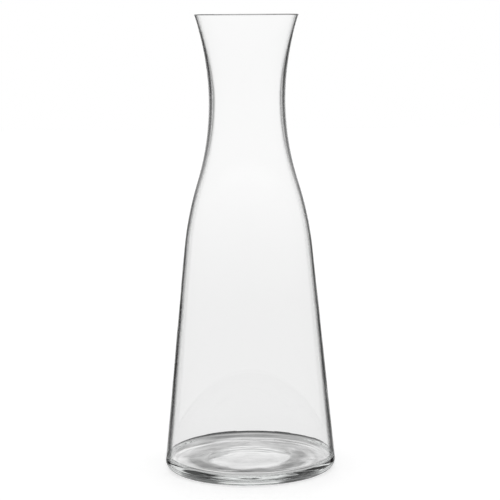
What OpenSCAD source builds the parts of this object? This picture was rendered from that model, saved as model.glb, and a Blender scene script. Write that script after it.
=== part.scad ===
// One-litre water carafe: a single thin wall of clear blown glass with a flared
// mouth, a slim neck, a soft shoulder, a straight sloping body and a heavier base.
// The part stands on its foot ring at z = 0, centred on the z axis, in millimetres.

/* [Body] */
// Height from the table to the top of the lip
height = 280; // [255:1:320]
// Diameter that the sloping wall would have at the table if the heel were sharp
base_d = 106.7; // [92:0.1:120]
// Diameter that the sloping wall would have if it ran on up to the neck's narrowest point
slope_top_d = 60.9; // [54:0.1:72]
// Radius of the shoulder's curve, seen from the side
shoulder_radius = 205; // [160:1:250]

/* [Neck and mouth] */
// Outer diameter of the neck at its narrowest
neck_d = 46.8; // [42:0.1:50]
// Distance from the top of the lip down to the narrowest point of the neck
neck_drop = 52; // [42:0.2:60]
// Diameter over the lip at its widest
mouth_d = 63.3; // [56:0.1:70]

/* [Glass] */
// Thickness of the lip, which is melted round
lip_wall = 0.85; // [0.7:0.05:2.4]
// Thickness of the neck's wall at its narrowest point
neck_wall = 2; // [1.4:0.1:2.8]
// Thickness of the wall where the slope meets the shoulder
shoulder_wall = 1.15; // [0.8:0.05:2.2]
// Thickness of the wall at the floor, just above the corner
heel_wall = 1.7; // [1.4:0.1:3.4]

/* [Base] */
// Height of the floor at its edge, above the table
floor_z = 6; // [4:0.1:8]
// Rise of the floor inside, at the axis, above its edge
floor_rise = 1.2; // [0.1:0.1:3]
// How flat the floor's top is: 2 is an even curve, more is flatter with a steeper edge
floor_power = 2; // [1.2:0.1:5]
// Width of the rounded corner between the floor and the wall
corner_w = 5; // [2:0.1:12]
// Height of that corner
corner_h = 3.8; // [2:0.1:8]
// How full that corner is: 2 is an even curve, more is nearer to a sharp corner
corner_power = 2; // [1.4:0.1:3]
// Radius of the rounded heel, outside
heel_radius = 4.8; // [2:0.1:7]
// Width of the flat foot ring, from the heel in to the edge of the wide hollow under the base
ring_w = 6; // [3:0.1:12]
// Height of the wide hollow under the base, at the axis
hollow_h = 1.1; // [0.1:0.1:1.5]
// Diameter of the deeper punt in the middle of that hollow
punt_d = 52; // [40:0.2:60]
// Height of the punt above the hollow, at the axis
punt_h = 0.7; // [0.1:0.1:2.5]
// How flat the punt's top is: 2 is an even curve, more is flatter with a steeper edge
punt_power = 5; // [1.5:0.1:8]

/* [Hidden] */

// Flats round the part, and steps along each arc of its outline
$fn = 180;
arc_steps = 28;
round_steps = 12;
dome_steps = 24;

mouth_r = mouth_d / 2;
neck_r = neck_d / 2;
base_r = base_d / 2;
neck_z = height - neck_drop;
lip_r = lip_wall / 2;
lip_z = height - lip_r;

// The flare and the neck are one arc, outside, that the lip's round edge touches
lip_out = mouth_r - lip_r - neck_r;
lip_up = lip_z - neck_z;
flare_radius = (lip_out * lip_out + lip_up * lip_up - lip_r * lip_r) / (2 * (lip_out + lip_r));
flare_r = neck_r + flare_radius;
lip_centre = [mouth_r - lip_r, lip_z];

// The shoulder's arc touches the flare's arc and the sloping wall. Its centre lies on a
// line beside the wall's own, where it is both radii away from the flare's centre.
lean_tan = (base_r - slope_top_d / 2) / neck_z;
wall_lean = atan(lean_tan);
slope_r = base_r - shoulder_radius / cos(wall_lean);
quad_a = 1 + lean_tan * lean_tan;
quad_b = -2 * ((slope_r - flare_r) * lean_tan + neck_z);
quad_c = pow(slope_r - flare_r, 2) + neck_z * neck_z - pow(flare_radius + shoulder_radius, 2);
shoulder_z = (-quad_b - sqrt(quad_b * quad_b - 4 * quad_a * quad_c)) / (2 * quad_a);
shoulder_r = slope_r - shoulder_z * lean_tan;
slope_top_z = shoulder_z + shoulder_radius * sin(wall_lean);
shoulder_top_z = neck_z - flare_radius * (neck_z - shoulder_z) / (flare_radius + shoulder_radius);

// Centre of the round heel, and where the corner inside starts and ends
heel_r = base_r - heel_radius * (1 / cos(wall_lean) + lean_tan);
corner_z = floor_z + corner_h;
floor_r = outer_r(corner_z) - heel_wall - corner_w + lean_tan * corner_h;

// Outer radius of the glass at a height: the slope, then the shoulder, then the flare
function outer_r(z) =
    z < slope_top_z ? base_r - z * lean_tan :
    z < shoulder_top_z ? shoulder_r + sqrt(pow(shoulder_radius, 2) - pow(z - shoulder_z, 2)) :
    flare_r - sqrt(pow(flare_radius, 2) - pow(z - neck_z, 2));

// Where the lip's round edge leaves the flare outside and meets the wall inside
lip_lean = atan2(lip_up, flare_r - lip_centre[0]);
lip_start_z = lip_z - lip_r * sin(lip_lean);
lip_end_z = lip_z + lip_r * sin(lip_lean);
lip_end_r = lip_centre[0] - lip_r * cos(lip_lean);

// Thickness of the wall between two heights, passing smoothly from one value to the next
function eased(z, low, high, from, to) =
    let (share = (z - low) / (high - low))
    from + (to - from) * share * share * (3 - 2 * share);

// Thickness of the wall at a height, thinnest where the glass was blown out furthest
function wall_at(z) =
    z < slope_top_z ? eased(z, corner_z, slope_top_z, heel_wall, shoulder_wall) :
    z < neck_z ? eased(z, slope_top_z, neck_z, shoulder_wall, neck_wall) :
    eased(z, neck_z, lip_end_z, neck_wall, outer_r(lip_end_z) - lip_end_r);

// Points along an arc, from one angle to another
function arc(centre, radius, from, to, steps) = [
    for (step = [0 : steps])
        let (angle = from + (to - from) * step / steps)
        centre + radius * [cos(angle), sin(angle)]
];

// Heights from one level to another, the first left out
function levels(from, to, steps) = [for (step = [1 : steps]) from + (to - from) * step / steps];

// A shallow dome, as points from the axis out to its edge
function dome(edge_r, edge_z, rise, power) = [
    for (step = [0 : dome_steps])
        let (share = step / dome_steps)
        [edge_r * share, edge_z + rise * (1 - pow(share, power))]
];

// The underside, from the axis out to the foot ring: the punt, then the rest of the wide hollow
ring_r = heel_r - ring_w;
punt_r = punt_d / 2;
function hollow_z(r) = hollow_h * (1 - pow(r / ring_r, 2));
underside = concat(
    [for (point = dome(punt_r, 0, punt_h, punt_power)) [point[0], point[1] + hollow_z(point[0])]],
    [for (r = levels(punt_r, ring_r, dome_steps)) [r, hollow_z(r)]]
);

// The corner inside, from the floor up to the wall, leaning in with the wall
corner = [
    for (step = [1 : dome_steps])
        let (turn = 90 * step / dome_steps)
        let (out = corner_w * pow(sin(turn), 2 / corner_power))
        let (up = corner_h * (1 - pow(cos(turn), 2 / corner_power)))
        [floor_r + out - lean_tan * up, floor_z + up]
];

heel_top_z = heel_radius + heel_radius * sin(wall_lean);

heights = concat(
    levels(heel_top_z, slope_top_z, 1),
    levels(slope_top_z, shoulder_top_z, arc_steps),
    levels(shoulder_top_z, lip_start_z, 2 * arc_steps)
);
inner_heights = concat(
    levels(corner_z, slope_top_z, arc_steps),
    levels(slope_top_z, shoulder_top_z, arc_steps),
    levels(shoulder_top_z, lip_end_z, 2 * arc_steps)
);

outer_side = concat(
    arc([heel_r, heel_radius], heel_radius, -90, wall_lean, round_steps),
    [for (z = heights) [outer_r(z), z]]
);
lip_edge = arc(lip_centre, lip_r, -lip_lean, 180 - lip_lean, round_steps);
inner_side = concat(
    corner,
    [for (z = inner_heights) [outer_r(z) - wall_at(z), z]]
);

function reversed(points) = [for (i = [len(points) - 1 : -1 : 0]) points[i]];

module carafe_glass() {
    color([0.93, 0.96, 0.95, 0.35])
    rotate_extrude()
    polygon(concat(
        underside,
        outer_side,
        lip_edge,
        reversed(inner_side),
        reversed(dome(floor_r, floor_z, floor_rise, floor_power))
    ));
}

carafe_glass();
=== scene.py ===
"""A one-litre water carafe, one shell of clear blown glass, on a pale table in soft studio light."""
import logging
import math
from dataclasses import dataclass, field
from enum import Enum
from typing import Any

import bpy
from mathutils import Euler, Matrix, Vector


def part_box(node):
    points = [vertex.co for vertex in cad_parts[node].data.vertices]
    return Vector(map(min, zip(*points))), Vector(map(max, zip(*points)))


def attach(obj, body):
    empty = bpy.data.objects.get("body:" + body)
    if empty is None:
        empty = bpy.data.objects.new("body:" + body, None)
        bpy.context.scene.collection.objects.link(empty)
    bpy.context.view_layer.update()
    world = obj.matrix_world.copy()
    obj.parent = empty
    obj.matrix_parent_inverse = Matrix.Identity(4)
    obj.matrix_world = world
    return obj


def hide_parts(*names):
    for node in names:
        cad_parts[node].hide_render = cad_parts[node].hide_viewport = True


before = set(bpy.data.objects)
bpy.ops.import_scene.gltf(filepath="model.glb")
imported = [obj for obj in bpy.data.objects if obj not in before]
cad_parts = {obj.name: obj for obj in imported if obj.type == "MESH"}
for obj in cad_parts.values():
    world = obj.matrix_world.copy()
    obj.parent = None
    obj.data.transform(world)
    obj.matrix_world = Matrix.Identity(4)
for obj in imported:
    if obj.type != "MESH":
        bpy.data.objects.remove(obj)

# A millimetre in metres and a degree in radians, and two angles in degrees
MM = 0.001
DEGREE = math.pi / 180
RIGHT_ANGLE = 90
HALF_TURN = 180
# The level that a noise texture varies about
NOISE_MIDDLE = 0.5
# The horizon, where heights round the glass count from 0 straight down to 1 straight up
HORIZON = 0.5
# The CAD node that the glass stands for
GLASS_NODE = "carafe_glass"

# A point of the outline: its distance from the axis, and its height
Point = tuple[float, float]
# Places or angles in order, and the level at each
Stops = tuple[tuple[float, float], ...]

log = logging.getLogger("carafe")


class Face(Enum):
    """Which face of the glass a stretch of the outline belongs to, and so how far it wavers."""

    PUNT = "punt"
    OUTSIDE = "outside"
    LIP = "lip"
    INSIDE = "inside"
    CORNER = "corner"
    FLOOR = "floor"


class Number:
    """A number that a node gives out. Python's operators on it add Math nodes."""

    def __init__(self, graph: "Graph", socket: bpy.types.NodeSocket) -> None:
        """Wraps a socket.

        Args:
            graph: the graph that new Math nodes go into.
            socket: the output socket that gives the number.
        """
        self.graph = graph
        self.socket = socket

    def math(self, operation: str, *others: Any) -> "Number":
        """Adds a Math node that takes this number first.

        Args:
            operation: the Math node's operation.
            others: what its further sockets take, each a plain number, a Number or an output socket.

        Returns:
            The node's result.
        """
        return self.graph.math(operation, self, *others)

    def __add__(self, other: Any) -> "Number":
        """Adds."""
        return self.graph.math("ADD", self, other)

    def __radd__(self, other: Any) -> "Number":
        """Adds, with the plain number first."""
        return self.graph.math("ADD", other, self)

    def __sub__(self, other: Any) -> "Number":
        """Subtracts."""
        return self.graph.math("SUBTRACT", self, other)

    def __rsub__(self, other: Any) -> "Number":
        """Subtracts from a plain number."""
        return self.graph.math("SUBTRACT", other, self)

    def __mul__(self, other: Any) -> "Number":
        """Multiplies."""
        return self.graph.math("MULTIPLY", self, other)

    def __rmul__(self, other: Any) -> "Number":
        """Multiplies, with the plain number first."""
        return self.graph.math("MULTIPLY", other, self)

    def __truediv__(self, other: Any) -> "Number":
        """Divides."""
        return self.graph.math("DIVIDE", self, other)

    def __rtruediv__(self, other: Any) -> "Number":
        """Divides a plain number by this one."""
        return self.graph.math("DIVIDE", other, self)


class Graph:
    """A node tree that is being written."""

    def __init__(self, tree: bpy.types.NodeTree) -> None:
        """Starts on an empty tree.

        Args:
            tree: a shader, world or geometry tree, whose own nodes are cleared.
        """
        self.tree = tree
        tree.nodes.clear()

    def add(self, kind: str, settings: dict[str, Any] | None = None,
            sockets: dict[Any, Any] | None = None) -> Any:
        """Adds a node.

        Args:
            kind: the node's type.
            settings: its own settings, set first. "stops" fills a colour ramp with places and levels.
            sockets: its inputs by name or place, each a plain value, a Number or an output socket.

        Returns:
            The node.
        """
        node = self.tree.nodes.new(kind)
        for name, value in (settings or {}).items():
            if name == "stops":
                self._fill_ramp(node.color_ramp, value)
            else:
                setattr(node, name, value)
        for name, value in (sockets or {}).items():
            source = value.socket if isinstance(value, Number) else value
            if isinstance(source, bpy.types.NodeSocket):
                self.tree.links.new(source, node.inputs[name])
            else:
                node.inputs[name].default_value = source
        return node

    def number(self, kind: str, output: Any, settings: dict[str, Any] | None = None,
               sockets: dict[Any, Any] | None = None) -> Number:
        """Adds a node and wraps one of its outputs.

        Args:
            kind: the node's type.
            output: the name or place of the output.
            settings: as in add.
            sockets: as in add.

        Returns:
            The output as a Number.
        """
        return Number(self, self.add(kind, settings, sockets).outputs[output])

    def math(self, operation: str, *terms: Any) -> Number:
        """Adds a Math node.

        Args:
            operation: the node's operation.
            terms: what its sockets take, in order, each a plain number, a Number or an output socket.

        Returns:
            The node's result.
        """
        return self.number("ShaderNodeMath", 0, {"operation": operation}, dict(enumerate(terms)))

    def noise(self, place: Any, scale: Any, detail: float) -> Number:
        """Adds a noise texture.

        Args:
            place: the output socket that gives the place in the noise.
            scale: how many waves the noise has to each unit of that place.
            detail: how many finer noises ride on it.

        Returns:
            The noise, from 0 to 1, which varies about its middle.
        """
        return self.number("ShaderNodeTexNoise", 0, {"noise_dimensions": "3D", "normalize": True}, {
            "Vector": place, "Scale": scale, "Detail": detail})

    @staticmethod
    def _fill_ramp(ramp: bpy.types.ColorRamp, stops: Stops) -> None:
        """Sets a ramp's stops.

        Args:
            ramp: the colour ramp.
            stops: a place from 0 to 1 and a grey level for each stop, in order.
        """
        while len(ramp.elements) > 1:
            ramp.elements.remove(ramp.elements[-1])
        for place, level in stops:
            stop = ramp.elements.new(place)
            stop.color = (level, level, level, 1.0)
        ramp.elements.remove(ramp.elements[0])


@dataclass(frozen=True)
class GlassOutline:
    """Half of a slice through the carafe's axis: sizes, and the points that they give, in metres.

    Attributes:
        height: from the table to the top of the lip.
        base_d: diameter of the sloping wall at the table, if the heel were sharp.
        slope_top_d: diameter of the sloping wall, if it ran on up to the neck's narrowest point.
        shoulder_radius: radius of the shoulder's curve, seen from the side.
        neck_d: outer diameter of the neck at its narrowest.
        neck_drop: from the top of the lip down to the neck's narrowest point.
        mouth_d: diameter over the lip at its widest.
        lip_wall: thickness of the lip, which is melted round.
        neck_wall: thickness of the wall at the neck's narrowest point.
        shoulder_wall: thickness of the wall where the slope meets the shoulder.
        heel_wall: thickness of the wall just above the corner inside.
        floor_z: height of the floor's edge above the table.
        floor_rise: how much higher the floor is at the axis.
        floor_power: 2 for a floor with an even curve, more for a flatter top.
        corner_w: width of the rounded corner between the floor and the wall.
        corner_h: height of that corner.
        corner_power: 2 for a corner with an even curve, more for a fuller one.
        heel_radius: radius of the rounded heel, outside.
        ring_w: width of the flat foot ring.
        hollow_h: height of the wide hollow under the base, at the axis.
        punt_d: diameter of the deeper punt in the middle of that hollow.
        punt_h: height of the punt above the hollow, at the axis.
        punt_power: 2 for a punt with an even curve, more for a flatter top.
        wall_step: distance between the points up a wall.
        end_step: distance from each end of a wall to the point next to it.
        round_steps: steps along the heel and along the lip's round edge.
        dome_steps: steps along the floor, the corner, the punt and the rest of the hollow.
    """

    height: float
    base_d: float = 106.7 * MM
    slope_top_d: float = 60.9 * MM
    shoulder_radius: float = 205 * MM
    neck_d: float = 46.8 * MM
    neck_drop: float = 52 * MM
    mouth_d: float = 63.3 * MM
    lip_wall: float = 0.85 * MM
    neck_wall: float = 2 * MM
    shoulder_wall: float = 1.15 * MM
    heel_wall: float = 1.7 * MM
    floor_z: float = 6 * MM
    floor_rise: float = 1.2 * MM
    floor_power: float = 2.0
    corner_w: float = 5 * MM
    corner_h: float = 3.8 * MM
    corner_power: float = 2.0
    heel_radius: float = 4.8 * MM
    ring_w: float = 6 * MM
    hollow_h: float = 1.1 * MM
    punt_d: float = 52 * MM
    punt_h: float = 0.7 * MM
    punt_power: float = 5.0
    wall_step: float = 2.4 * MM
    end_step: float = 0.12 * MM
    round_steps: int = 24
    dome_steps: int = 48

    @property
    def neck_z(self) -> float:
        """Height of the neck's narrowest point."""
        return self.height - self.neck_drop

    @property
    def lean_tan(self) -> float:
        """How far the sloping wall leans in for each metre of height."""
        return (self.base_d - self.slope_top_d) / 2 / self.neck_z

    @property
    def lip_centre(self) -> Point:
        """Centre of the lip's round edge."""
        return self.mouth_d / 2 - self.lip_wall / 2, self.height - self.lip_wall / 2

    @property
    def flare_radius(self) -> float:
        """Radius of the arc that runs from the lip down through the neck, outside."""
        lip_r = self.lip_wall / 2
        out = self.lip_centre[0] - self.neck_d / 2
        up = self.lip_centre[1] - self.neck_z
        return (out * out + up * up - lip_r * lip_r) / (2 * (out + lip_r))

    @property
    def flare_centre(self) -> Point:
        """Centre of the flare's arc."""
        return self.neck_d / 2 + self.flare_radius, self.neck_z

    @property
    def shoulder_centre(self) -> Point:
        """Centre of the shoulder's arc, which touches the flare's arc and the sloping wall."""
        lean = self.lean_tan
        slope_r = self.base_d / 2 - self.shoulder_radius * math.hypot(1, lean)
        away = slope_r - self.flare_centre[0]
        a = 1 + lean * lean
        b = -2 * (away * lean + self.neck_z)
        c = away * away + self.neck_z ** 2 - (self.flare_radius + self.shoulder_radius) ** 2
        z = (-b - math.sqrt(b * b - 4 * a * c)) / (2 * a)
        return slope_r - z * lean, z

    @property
    def slope_top_z(self) -> float:
        """Height at which the slope ends and the shoulder starts."""
        return self.shoulder_centre[1] + self.shoulder_radius * math.sin(math.atan(self.lean_tan))

    @property
    def shoulder_top_z(self) -> float:
        """Height at which the shoulder ends and the flare's arc starts."""
        share = self.flare_radius / (self.flare_radius + self.shoulder_radius)
        return self.neck_z - share * (self.neck_z - self.shoulder_centre[1])

    @property
    def corner_z(self) -> float:
        """Height at which the corner between floor and wall ends, inside."""
        return self.floor_z + self.corner_h

    @property
    def floor_r(self) -> float:
        """Radius of the floor inside, up to the corner, which leans in with the wall."""
        return self.outer_r(self.corner_z) - self.heel_wall - self.corner_w + self.lean_tan * self.corner_h

    @property
    def heel_r(self) -> float:
        """Radius at which the flat foot ring ends and the round heel starts."""
        return self.base_d / 2 - self.heel_radius * (math.hypot(1, self.lean_tan) + self.lean_tan)

    @property
    def lip_lean(self) -> float:
        """Angle from the level line at which the lip's round edge leaves the flare."""
        return math.atan2(self.lip_centre[1] - self.neck_z, self.flare_centre[0] - self.lip_centre[0])

    @property
    def lip_top(self) -> Point:
        """Where the lip's round edge meets the inside of the wall."""
        r, z = self.lip_centre
        lip_r = self.lip_wall / 2
        return r - lip_r * math.cos(self.lip_lean), z + lip_r * math.sin(self.lip_lean)

    def outer_r(self, z: float) -> float:
        """Outer radius of the glass.

        Args:
            z: a height above the heel.

        Returns:
            The radius there: on the slope, the shoulder or the flare.
        """
        if z < self.slope_top_z:
            return self.base_d / 2 - z * self.lean_tan
        if z < self.shoulder_top_z:
            r, mid = self.shoulder_centre
            return r + math.sqrt(self.shoulder_radius ** 2 - (z - mid) ** 2)
        r, mid = self.flare_centre
        return r - math.sqrt(self.flare_radius ** 2 - (z - mid) ** 2)

    def wall(self, z: float) -> float:
        """Thickness of the wall, which passes smoothly from one named thickness to the next.

        Args:
            z: a height above the inner corner.

        Returns:
            The thickness there, measured level.
        """
        top_r, top_z = self.lip_top
        marks = (
            (self.corner_z, self.heel_wall),
            (self.slope_top_z, self.shoulder_wall),
            (self.neck_z, self.neck_wall),
            (top_z, self.outer_r(top_z) - top_r),
        )
        for (low, thick), (high, next_thick) in zip(marks, marks[1:]):
            if z <= high:
                share = max(0.0, (z - low) / (high - low))
                smooth = share * share * (3 - 2 * share)
                return thick + (next_thick - thick) * smooth
        return marks[-1][1]

    def stretches(self) -> list[tuple[Face, list[Point]]]:
        """The whole outline, from the axis under the base to the axis on the floor.

        Returns:
            Each stretch's face and its points.
        """
        lip_lean = self.lip_lean
        lip_drop = self.lip_wall / 2 * math.sin(lip_lean)
        wall_lean = math.atan(self.lean_tan)
        heel_top_z = self.heel_radius * (1 + math.sin(wall_lean))
        outside = [(self.outer_r(z), z) for z in self.rungs(heel_top_z, self.lip_centre[1] - lip_drop)]
        inside = [(self.outer_r(z) - self.wall(z), z) for z in self.rungs(self.corner_z, self.lip_top[1])]
        quarter = math.pi / 2
        return [
            (Face.PUNT, self.hollow()),
            (Face.OUTSIDE, self.arc((self.heel_r, self.heel_radius), self.heel_radius, -quarter, wall_lean)),
            (Face.OUTSIDE, outside),
            (Face.LIP, self.arc(self.lip_centre, self.lip_wall / 2, -lip_lean, math.pi - lip_lean)),
            (Face.INSIDE, inside[::-1]),
            (Face.CORNER, self.corner()[::-1]),
            (Face.FLOOR, self.dome(self.floor_r, self.floor_z, self.floor_rise, self.floor_power)[::-1]),
        ]

    def arc(self, centre: Point, radius: float, start: float, end: float) -> list[Point]:
        """Points along an arc.

        Args:
            centre: its centre.
            radius: its radius.
            start: the angle of its first point, from the level line outwards, in radians.
            end: the angle of its last point.

        Returns:
            The points.
        """
        angles = [start + (end - start) * step / self.round_steps for step in range(self.round_steps + 1)]
        return [(centre[0] + radius * math.cos(a), centre[1] + radius * math.sin(a)) for a in angles]

    def dome(self, edge_r: float, edge_z: float, rise: float, power: float) -> list[Point]:
        """A shallow dome round the axis.

        Args:
            edge_r: radius of its edge.
            edge_z: height of its edge.
            rise: how far its top stands above its edge.
            power: 2 for an even curve, more for a flatter top.

        Returns:
            Its points, from the axis out to the edge.
        """
        shares = [step / self.dome_steps for step in range(self.dome_steps + 1)]
        return [(edge_r * share, edge_z + rise * (1 - share ** power)) for share in shares]

    def hollow(self) -> list[Point]:
        """The underside: a faint hollow out to the foot ring, and a deeper punt in its middle.

        Returns:
            Its points, from the axis out to the foot ring.
        """
        ring_r, punt_r = self.heel_r - self.ring_w, self.punt_d / 2
        punt = self.dome(punt_r, 0.0, self.punt_h, self.punt_power)
        rest = [
            (punt_r + (ring_r - punt_r) * step / self.dome_steps, 0.0)
            for step in range(1, self.dome_steps + 1)
        ]
        return [(r, z + self.hollow_h * (1 - (r / ring_r) ** 2)) for r, z in punt + rest]

    def corner(self) -> list[Point]:
        """The rounded corner between the floor and the wall.

        Returns:
            Its points, from the floor up to the wall.
        """
        points = []
        for step in range(self.dome_steps + 1):
            turn = math.pi / 2 * step / self.dome_steps
            out = math.sin(turn) ** (2 / self.corner_power)
            up = 1 - math.cos(turn) ** (2 / self.corner_power)
            rise = self.corner_h * up
            points.append((self.floor_r + self.corner_w * out - self.lean_tan * rise, self.floor_z + rise))
        return points

    def rungs(self, low: float, high: float) -> list[float]:
        """Even heights up a wall, with one more close to each end that holds the curve there.

        Args:
            low: the first height.
            high: the last height.

        Returns:
            The heights, both ends included.
        """
        count = round((high - low) / self.wall_step)
        even = [low + (high - low) * step / count for step in range(count + 1)]
        return [low, low + self.end_step, *even[1:-1], high - self.end_step, high]


@dataclass(frozen=True)
class ClearGlass:
    """Clear blown glass: how it bends the light, and what little it takes from it.

    Attributes:
        ior: index of refraction.
        cast: the share of red, green and blue light that is left after 1 / density metres of glass.
        density: how strong that cast is.
    """

    ior: float = 1.5
    cast: tuple[float, float, float] = (0.9, 0.95, 0.93)
    density: float = 4.0

    def material(self) -> bpy.types.Material:
        """Writes the glass as a material.

        Returns:
            The material.
        """
        material = bpy.data.materials.new("clear_blown_glass")
        material.use_nodes = True
        graph = Graph(material.node_tree)
        glass = graph.add("ShaderNodeBsdfPrincipled", sockets={
            "Base Color": (1.0, 1.0, 1.0, 1.0),
            "Roughness": 0.0,
            "IOR": self.ior,
            "Transmission Weight": 1.0,
        })
        depth = graph.add("ShaderNodeVolumeAbsorption", sockets={
            "Color": (*self.cast, 1.0),
            "Density": self.density,
        })
        graph.add("ShaderNodeOutputMaterial", sockets={
            "Surface": glass.outputs[0],
            "Volume": depth.outputs[0],
        })
        return material


@dataclass
class Carafe:
    """The carafe's one piece of glass, turned from its outline.

    Attributes:
        outline: the outline that is turned.
        finish: the glass itself.
        segments: flats round the axis.
        weld: the distance within which two points become one.
        waves: how far each face wavers, in or out.
        wave_size: the width of one wave.
        wave_detail: how many finer waves ride on it.
    """

    outline: GlassOutline
    finish: ClearGlass
    segments: int = 208
    weld: float = 0.0005 * MM
    waves: dict[Face, float] = field(default_factory=lambda: {
        Face.PUNT: 0.25 * MM,
        Face.OUTSIDE: 0.01 * MM,
        Face.LIP: 0.0,
        Face.INSIDE: 0.02 * MM,
        Face.CORNER: 0.30 * MM,
        Face.FLOOR: 0.25 * MM,
    })
    wave_size: float = 20 * MM
    wave_detail: float = 1.0

    def build(self) -> bpy.types.Object:
        """Turns the outline into the glass and gives it its finish.

        Returns:
            The finished piece, with its place in its mesh.
        """
        profile = bpy.data.objects.new("outline", self.profile_mesh())
        bpy.context.scene.collection.objects.link(profile)
        turned = profile.modifiers.new("turned", "NODES")
        turned.node_group = self.turned_tree()
        sizes = {
            "Segments": self.segments,
            "Weld": self.weld,
            "Wave Size": self.wave_size,
            "Glass": self.finish.material(),
        }
        for item in turned.node_group.interface.items_tree:
            if item.in_out == "INPUT" and item.name in sizes:
                turned[item.identifier] = sizes[item.name]
        solid = profile.evaluated_get(bpy.context.evaluated_depsgraph_get())
        mesh = bpy.data.meshes.new_from_object(solid)
        profile.modifiers.remove(turned)
        bpy.data.objects.remove(profile)
        mesh.name = "blown_glass"
        piece = bpy.data.objects.new("blown_glass", mesh)
        bpy.context.scene.collection.objects.link(piece)
        return piece

    def profile_mesh(self) -> bpy.types.Mesh:
        """The outline as a line of points, each with the height of the waves on its face.

        Returns:
            A mesh of points in the plane of X and Z.
        """
        points: list[tuple[float, float, float]] = []
        heights: list[float] = []
        for face, stretch in self.outline.stretches():
            for r, z in stretch:
                if not points or math.dist(points[-1], (r, 0.0, z)) > self.weld:
                    points.append((r, 0.0, z))
                    heights.append(self.waves[face])
        mesh = bpy.data.meshes.new("outline")
        mesh.from_pydata(points, [], [])
        mesh.attributes.new("wave", "FLOAT", "POINT").data.foreach_set("value", heights)
        return mesh

    def turned_tree(self) -> bpy.types.NodeTree:
        """Writes the tree that turns an outline round the Z axis, closes it and makes its face waver.

        Returns:
            A geometry tree with the segments, the weld distance, the wave size and the glass as inputs.
        """
        tree = bpy.data.node_groups.new("turned_glass", "GeometryNodeTree")
        graph = Graph(tree)
        tree.interface.new_socket("Outline", in_out="INPUT", socket_type="NodeSocketGeometry")
        tree.interface.new_socket("Segments", in_out="INPUT", socket_type="NodeSocketInt")
        tree.interface.new_socket("Weld", in_out="INPUT", socket_type="NodeSocketFloat")
        tree.interface.new_socket("Wave Size", in_out="INPUT", socket_type="NodeSocketFloat")
        tree.interface.new_socket("Glass", in_out="INPUT", socket_type="NodeSocketMaterial")
        tree.interface.new_socket("Geometry", in_out="OUTPUT", socket_type="NodeSocketGeometry")
        given = graph.add("NodeGroupInput").outputs
        segments = Number(graph, given["Segments"])

        # A grid with a row for each point of the outline. Half a step keeps a row's first
        # point from rounding down into the row before it.
        rows = graph.number("GeometryNodeAttributeDomainSize", "Point Count", {"component": "MESH"},
                            {"Geometry": given["Outline"]})
        grid = graph.add("GeometryNodeMeshGrid", sockets={"Vertices X": rows, "Vertices Y": segments + 1})
        index = graph.number("GeometryNodeInputIndex", 0)
        passed = (index + 0.5) / (segments + 1)
        row = passed.math("FLOOR")
        turn = (index - row * (segments + 1)) / segments * math.tau

        # Each row goes round the axis at its point's radius and height
        place = graph.add("GeometryNodeInputPosition")
        on_outline = graph.add("GeometryNodeSampleIndex", {"data_type": "FLOAT_VECTOR"}, {
            "Geometry": given["Outline"], "Value": place.outputs[0], "Index": row})
        split = graph.add("ShaderNodeSeparateXYZ", sockets={0: on_outline.outputs[0]})
        radius = Number(graph, split.outputs["X"])
        round_place = graph.add("ShaderNodeCombineXYZ", sockets={
            "X": radius * turn.math("COSINE"),
            "Y": radius * turn.math("SINE"),
            "Z": split.outputs["Z"],
        })
        wave = graph.add("GeometryNodeInputNamedAttribute", {"data_type": "FLOAT"}, {"Name": "wave"})
        wave_here = graph.add("GeometryNodeSampleIndex", {"data_type": "FLOAT"}, {
            "Geometry": given["Outline"], "Value": wave.outputs[0], "Index": row})
        with_wave = graph.add("GeometryNodeStoreNamedAttribute", {"data_type": "FLOAT", "domain": "POINT"}, {
            "Geometry": grid.outputs["Mesh"], "Name": "wave", "Value": wave_here.outputs[0]})
        turned = graph.add("GeometryNodeSetPosition", sockets={
            "Geometry": with_wave.outputs[0], "Position": round_place.outputs[0]})
        outward = graph.add("GeometryNodeFlipFaces", sockets={"Mesh": turned.outputs[0]})
        closed = graph.add("GeometryNodeMergeByDistance", sockets={
            "Geometry": outward.outputs[0], "Distance": given["Weld"]})

        # Slow noise in space pushes the face out and in by up to the height of its waves
        spot = graph.add("GeometryNodeInputPosition").outputs[0]
        noise = graph.noise(spot, 1.0 / Number(graph, given["Wave Size"]), self.wave_detail)
        out = graph.add("GeometryNodeInputNormal")
        height = (noise - NOISE_MIDDLE) * Number(graph, wave.outputs[0]) * 2
        lift = graph.add("ShaderNodeVectorMath", {"operation": "SCALE"}, {
            0: out.outputs[0], "Scale": height})
        waved = graph.add("GeometryNodeSetPosition", sockets={
            "Geometry": closed.outputs[0], "Offset": lift.outputs[0]})
        plain = graph.add("GeometryNodeRemoveAttribute", sockets={
            "Geometry": waved.outputs[0], "Name": "wave"})
        smooth = graph.add("GeometryNodeSetShadeSmooth", sockets={"Geometry": plain.outputs[0]})
        real = graph.add("GeometryNodeRealizeInstances", sockets={"Geometry": smooth.outputs[0]})
        dressed = graph.add("GeometryNodeSetMaterial", sockets={
            "Geometry": real.outputs[0], "Material": given["Glass"]})
        graph.add("NodeGroupOutput", sockets={0: dressed.outputs[0]})
        return tree


@dataclass(frozen=True)
class LightBand:
    """An upright strip of the studio, the same to the left and to the right of the line of sight.

    Attributes:
        reach: degrees aside from the line of sight at which the strip ends.
        levels: degrees above the horizon, from straight down to straight up, and the level at each.
    """

    reach: float
    levels: Stops

    def stops(self) -> Stops:
        """The levels at heights that count from 0 straight down to 1 straight up."""
        return tuple((degrees / HALF_TURN + HORIZON, level) for degrees, level in self.levels)


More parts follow.
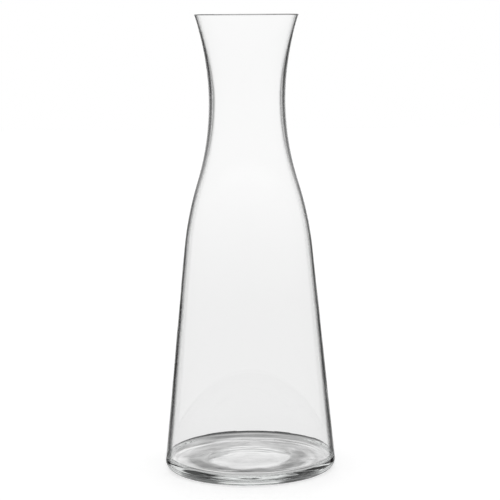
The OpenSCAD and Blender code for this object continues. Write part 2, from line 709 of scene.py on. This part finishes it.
@dataclass
class Studio:
    """The table, the light round the glass and the camera, none of which is part of the object.

    Attributes:
        bands: the strips of light, from the middle of the view outwards.
        soft: degrees on each side of a strip's border over which it passes into the next.
        full: the level that a ramp's white stands for.
        pool_r: radius of the painted pool of light and shadow on the table, which stands in for the light
            and shadow that the glass throws there.
        pool: levels from the axis out to the pool's edge, at shares of its radius.
        pool_wander: how far the borders in the pool wander, as a share of its radius.
        pool_grain: size of one wander.
        pool_detail: how many finer noises ride on the wander and on the streaks.
        pool_dark: the pool's lowest level.
        pool_mirrored: the pool's one plain level where the glass mirrors it.
        streaks: how strong the streaks in the pool are.
        streak_turns: how fine the streaks are round the axis.
        streak_rings: how fine they are from the axis out to the pool's edge.
        table_r: half the width of the table.
        table_gap: how far the table lies below the foot ring.
        table_grey: the table's own colour.
        table_glow: light that the table adds, so that it shows white.
        camera_place: where the camera stands.
        lens: focal length, in millimetres.
        sensor_width: width of the camera's sensor, in millimetres.
        frame_shift: how far the frame lies off the lens's centre, as a share of its width.
        turn_right: degrees that the camera turns to the right.
        tip_down: degrees that it tips down.
        roll: degrees that it leans to its side.
        view_depth: how far the camera sees.
        bounces: how often light may bounce in all, or pass into or out of the glass.
        mirror_bounces: how often light may be mirrored.
    """

    bands: tuple[LightBand, ...] = (
        LightBand(14.0, (
            (-90, 1.15), (-50, 1.15), (-33, 0.29), (-25, 0.0), (-16, 0.0), (-14, 0.87), (-10, 0.88),
            (-5, 0.97), (0, 0.99), (6, 0.47), (12, 1.0), (22, 0.07), (40, 1.15), (90, 1.15))),
        LightBand(42.0, (
            (-90, 1.15), (-50, 1.15), (-30, 0.7), (-20, 0.5), (-10, 0.01), (0, 0.13), (8, 0.42),
            (16, 0.0), (30, 0.0), (60, 1.15), (90, 1.15))),
        LightBand(180.0, (
            (-90, 1.15), (-40, 1.15), (-30, 0.8), (25, 0.8), (45, 0.3), (90, 1.15))),
    )
    soft: float = 3.0
    full: float = 1.2
    pool_r: float = 60 * MM
    pool: Stops = (
        (0.0, 0.87), (0.4, 0.87), (0.44, 0.28), (0.52, 0.16), (0.6, 0.24), (0.68, 0.6), (0.78, 0.78),
        (0.86, 0.6), (0.94, 0.4), (1.0, 0.3))
    pool_wander: float = 0.2
    pool_grain: float = 22 * MM
    pool_detail: float = 2.0
    pool_dark: float = 0.1
    pool_mirrored: float = 0.4
    streaks: float = 20.0
    streak_turns: float = 1.2
    streak_rings: float = 9.0
    table_r: float = 3.0
    table_gap: float = 0.1 * MM
    table_grey: float = 0.8
    table_glow: float = 0.55
    camera_place: tuple[float, float, float] = (0.000227, -1.086516, 0.286066)
    lens: float = 128.191
    sensor_width: float = 36.0
    frame_shift: float = -0.08
    turn_right: float = 1.3339
    tip_down: float = 7.8759
    roll: float = 0.3714
    view_depth: float = 50.0
    bounces: int = 32
    mirror_bounces: int = 16

    def build(self) -> None:
        """Makes the table, the light and the camera."""
        self.build_table()
        self.build_light()
        self.build_camera()
        cycles = bpy.context.scene.cycles
        cycles.max_bounces = self.bounces
        cycles.transmission_bounces = self.bounces
        cycles.glossy_bounces = self.mirror_bounces
        cycles.transparent_max_bounces = self.mirror_bounces
        bpy.context.scene.view_settings.view_transform = "Standard"

    def build_table(self) -> None:
        """Lays the pale table top under the foot ring."""
        mesh = bpy.data.meshes.new("table_top")
        sides = ((-1, -1), (1, -1), (1, 1), (-1, 1))
        mesh.from_pydata([(x * self.table_r, y * self.table_r, 0.0) for x, y in sides], [], [(0, 1, 2, 3)])
        mesh.materials.append(self.table_material())
        table = bpy.data.objects.new("table_top", mesh)
        bpy.context.scene.collection.objects.link(table)
        table.location.z = -self.table_gap

    def table_material(self) -> bpy.types.Material:
        """Writes the pale table. Through the glass it shows a painted pool of light and shadow, in place of
        the light and shadow that the glass throws on it.

        Returns:
            The material.
        """
        material = bpy.data.materials.new("pale_table")
        material.use_nodes = True
        graph = Graph(material.node_tree)
        matt = graph.add("ShaderNodeBsdfDiffuse", sockets={"Color": (*[self.table_grey] * 3, 1.0)})
        glow = graph.add("ShaderNodeEmission", sockets={"Strength": self.table_glow})
        lit = graph.add("ShaderNodeAddShader", sockets={0: matt.outputs[0], 1: glow.outputs[0]})
        # Seen through the glass, the table shows a painted pool of light and shadow round the axis, in place
        # of the light that the glass throws and the shadow of its thick base; beyond the pool it lets the
        # bent rays through to the studio
        place = graph.add("ShaderNodeTexCoord").outputs["Object"]
        distance = graph.number("ShaderNodeVectorMath", "Value", {"operation": "LENGTH"}, {0: place})
        away = distance / self.pool_r
        ray = graph.add("ShaderNodeLightPath").outputs
        # Where the glass mirrors the table, the painted pool gives way to one plain painted level
        mirrored = Number(graph, ray["Glossy Depth"]).math("MINIMUM", 1.0)
        level = self.painted_pool_level(graph, place, away)
        level = level + mirrored * (self.pool_mirrored - level)
        pool = graph.add("ShaderNodeEmission", sockets={"Color": level, "Strength": self.full})
        clear = graph.add("ShaderNodeBsdfTransparent")
        beyond = graph.add("ShaderNodeMixShader", sockets={
            0: away.math("GREATER_THAN", 1.0), 1: pool.outputs[0], 2: clear.outputs[0]})
        bent = Number(graph, ray["Is Transmission Ray"]).math("MAXIMUM", ray["Is Glossy Ray"])
        both = graph.add("ShaderNodeMixShader", sockets={0: bent, 1: lit.outputs[0], 2: beyond.outputs[0]})
        graph.add("ShaderNodeOutputMaterial", sockets={"Surface": both.outputs[0]})
        return material

    def painted_pool_level(self, graph: Graph, place: bpy.types.NodeSocket, away: Number) -> Number:
        """How light the painted pool is: rings of painted light and shadow whose borders wander, and streaks
        that are strongest further out.

        Args:
            graph: the graph to write into.
            place: the place on the table.
            away: how far it is from the axis, as a share of the pool's radius.

        Returns:
            The level, as a share of the full level.
        """
        noise = graph.noise(place, 1 / self.pool_grain, self.pool_detail)
        level = self.ramp(graph, away + (noise - NOISE_MIDDLE) * self.pool_wander, self.pool)
        weight = away * away * away * (1 - away) * self.streaks
        level = level + (self.rings(graph, place, away) - NOISE_MIDDLE) * weight
        return level.math("MAXIMUM", self.pool_dark)

    def rings(self, graph: Graph, place: bpy.types.NodeSocket, away: Number) -> Number:
        """Painted streaks of light: noise drawn out round the axis, as in the light that a round glass
        throws.

        Args:
            graph: the graph to write into.
            place: the place on the table.
            away: how far it is from the axis, as a share of the pool's radius.

        Returns:
            The noise, from 0 to 1.
        """
        way = graph.add("ShaderNodeVectorMath", {"operation": "NORMALIZE"}, {0: place})
        split = graph.add("ShaderNodeSeparateXYZ", sockets={0: way.outputs[0]})
        drawn = graph.add("ShaderNodeCombineXYZ", sockets={
            "X": Number(graph, split.outputs["X"]) * self.streak_turns,
            "Y": Number(graph, split.outputs["Y"]) * self.streak_turns,
            "Z": away * self.streak_rings,
        })
        return graph.noise(drawn.outputs[0], 1.0, self.pool_detail)

    def build_light(self) -> None:
        """Surrounds the glass with the upright bands of light, on a white backdrop for the camera."""
        world = bpy.data.worlds.new("studio")
        bpy.context.scene.world = world
        world.use_nodes = True
        graph = Graph(world.node_tree)
        coords = graph.add("ShaderNodeTexCoord")
        split = graph.add("ShaderNodeSeparateXYZ", sockets={0: coords.outputs["Generated"]})
        east = Number(graph, split.outputs["X"])
        up = Number(graph, split.outputs["Z"])
        aside = east.math("ARCTAN2", split.outputs["Y"]).math("ABSOLUTE") / DEGREE
        rise = up.math("ARCSINE") / math.pi + HORIZON
        level = self.ramp(graph, rise, self.bands[0].stops())
        for inner, outer in zip(self.bands, self.bands[1:]):
            past = graph.number("ShaderNodeMapRange", 0, {"interpolation_type": "SMOOTHSTEP"}, {
                "Value": aside,
                "From Min": inner.reach - self.soft,
                "From Max": inner.reach + self.soft,
            })
            level = level + past * (self.ramp(graph, rise, outer.stops()) - level)
        ray = graph.add("ShaderNodeLightPath")
        camera = Number(graph, ray.outputs["Is Camera Ray"])
        backdrop = graph.add("ShaderNodeBackground", sockets={
            "Color": (1.0, 1.0, 1.0, 1.0),
            "Strength": camera + (1 - camera) * level * self.full,
        })
        graph.add("ShaderNodeOutputWorld", sockets={"Surface": backdrop.outputs[0]})

    def ramp(self, graph: Graph, along: Number, stops: Stops) -> Number:
        """A level that changes along a number.

        Args:
            graph: the graph to write into.
            along: the number, from 0 to 1.
            stops: places along it and the level at each, in order.

        Returns:
            The level, as a share of the full level.
        """
        shares = tuple((place, level / self.full) for place, level in stops)
        return graph.number("ShaderNodeValToRGB", 0, {"stops": shares}, {0: along})

    def build_camera(self) -> None:
        """Sets the camera where the photograph's stood, tipped down at the carafe and a little askew."""
        camera = bpy.data.cameras.new("camera")
        camera.lens = self.lens
        camera.sensor_width = self.sensor_width
        camera.shift_x = self.frame_shift
        camera.clip_end = self.view_depth
        holder = bpy.data.objects.new("camera", camera)
        bpy.context.scene.collection.objects.link(holder)
        holder.location = self.camera_place
        turned = Euler((0.0, 0.0, -self.turn_right * DEGREE)).to_quaternion()
        tipped = Euler(((RIGHT_ANGLE - self.tip_down) * DEGREE, 0.0, 0.0)).to_quaternion()
        rolled = Euler((0.0, 0.0, -self.roll * DEGREE)).to_quaternion()
        holder.rotation_mode = "QUATERNION"
        holder.rotation_quaternion = turned @ tipped @ rolled
        bpy.context.scene.camera = holder


def main() -> None:
    """Builds the carafe and the studio."""
    logging.basicConfig(level=logging.INFO, format="%(message)s")
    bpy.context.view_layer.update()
    low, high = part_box(GLASS_NODE)
    carafe = Carafe(GlassOutline(height=high[2] - low[2]), ClearGlass())
    piece = carafe.build()
    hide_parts(GLASS_NODE)
    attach(piece, "root")
    log.info("%s: %d faces", piece.name, len(piece.data.polygons))
    Studio().build()


if __name__ == "__main__":
    main()
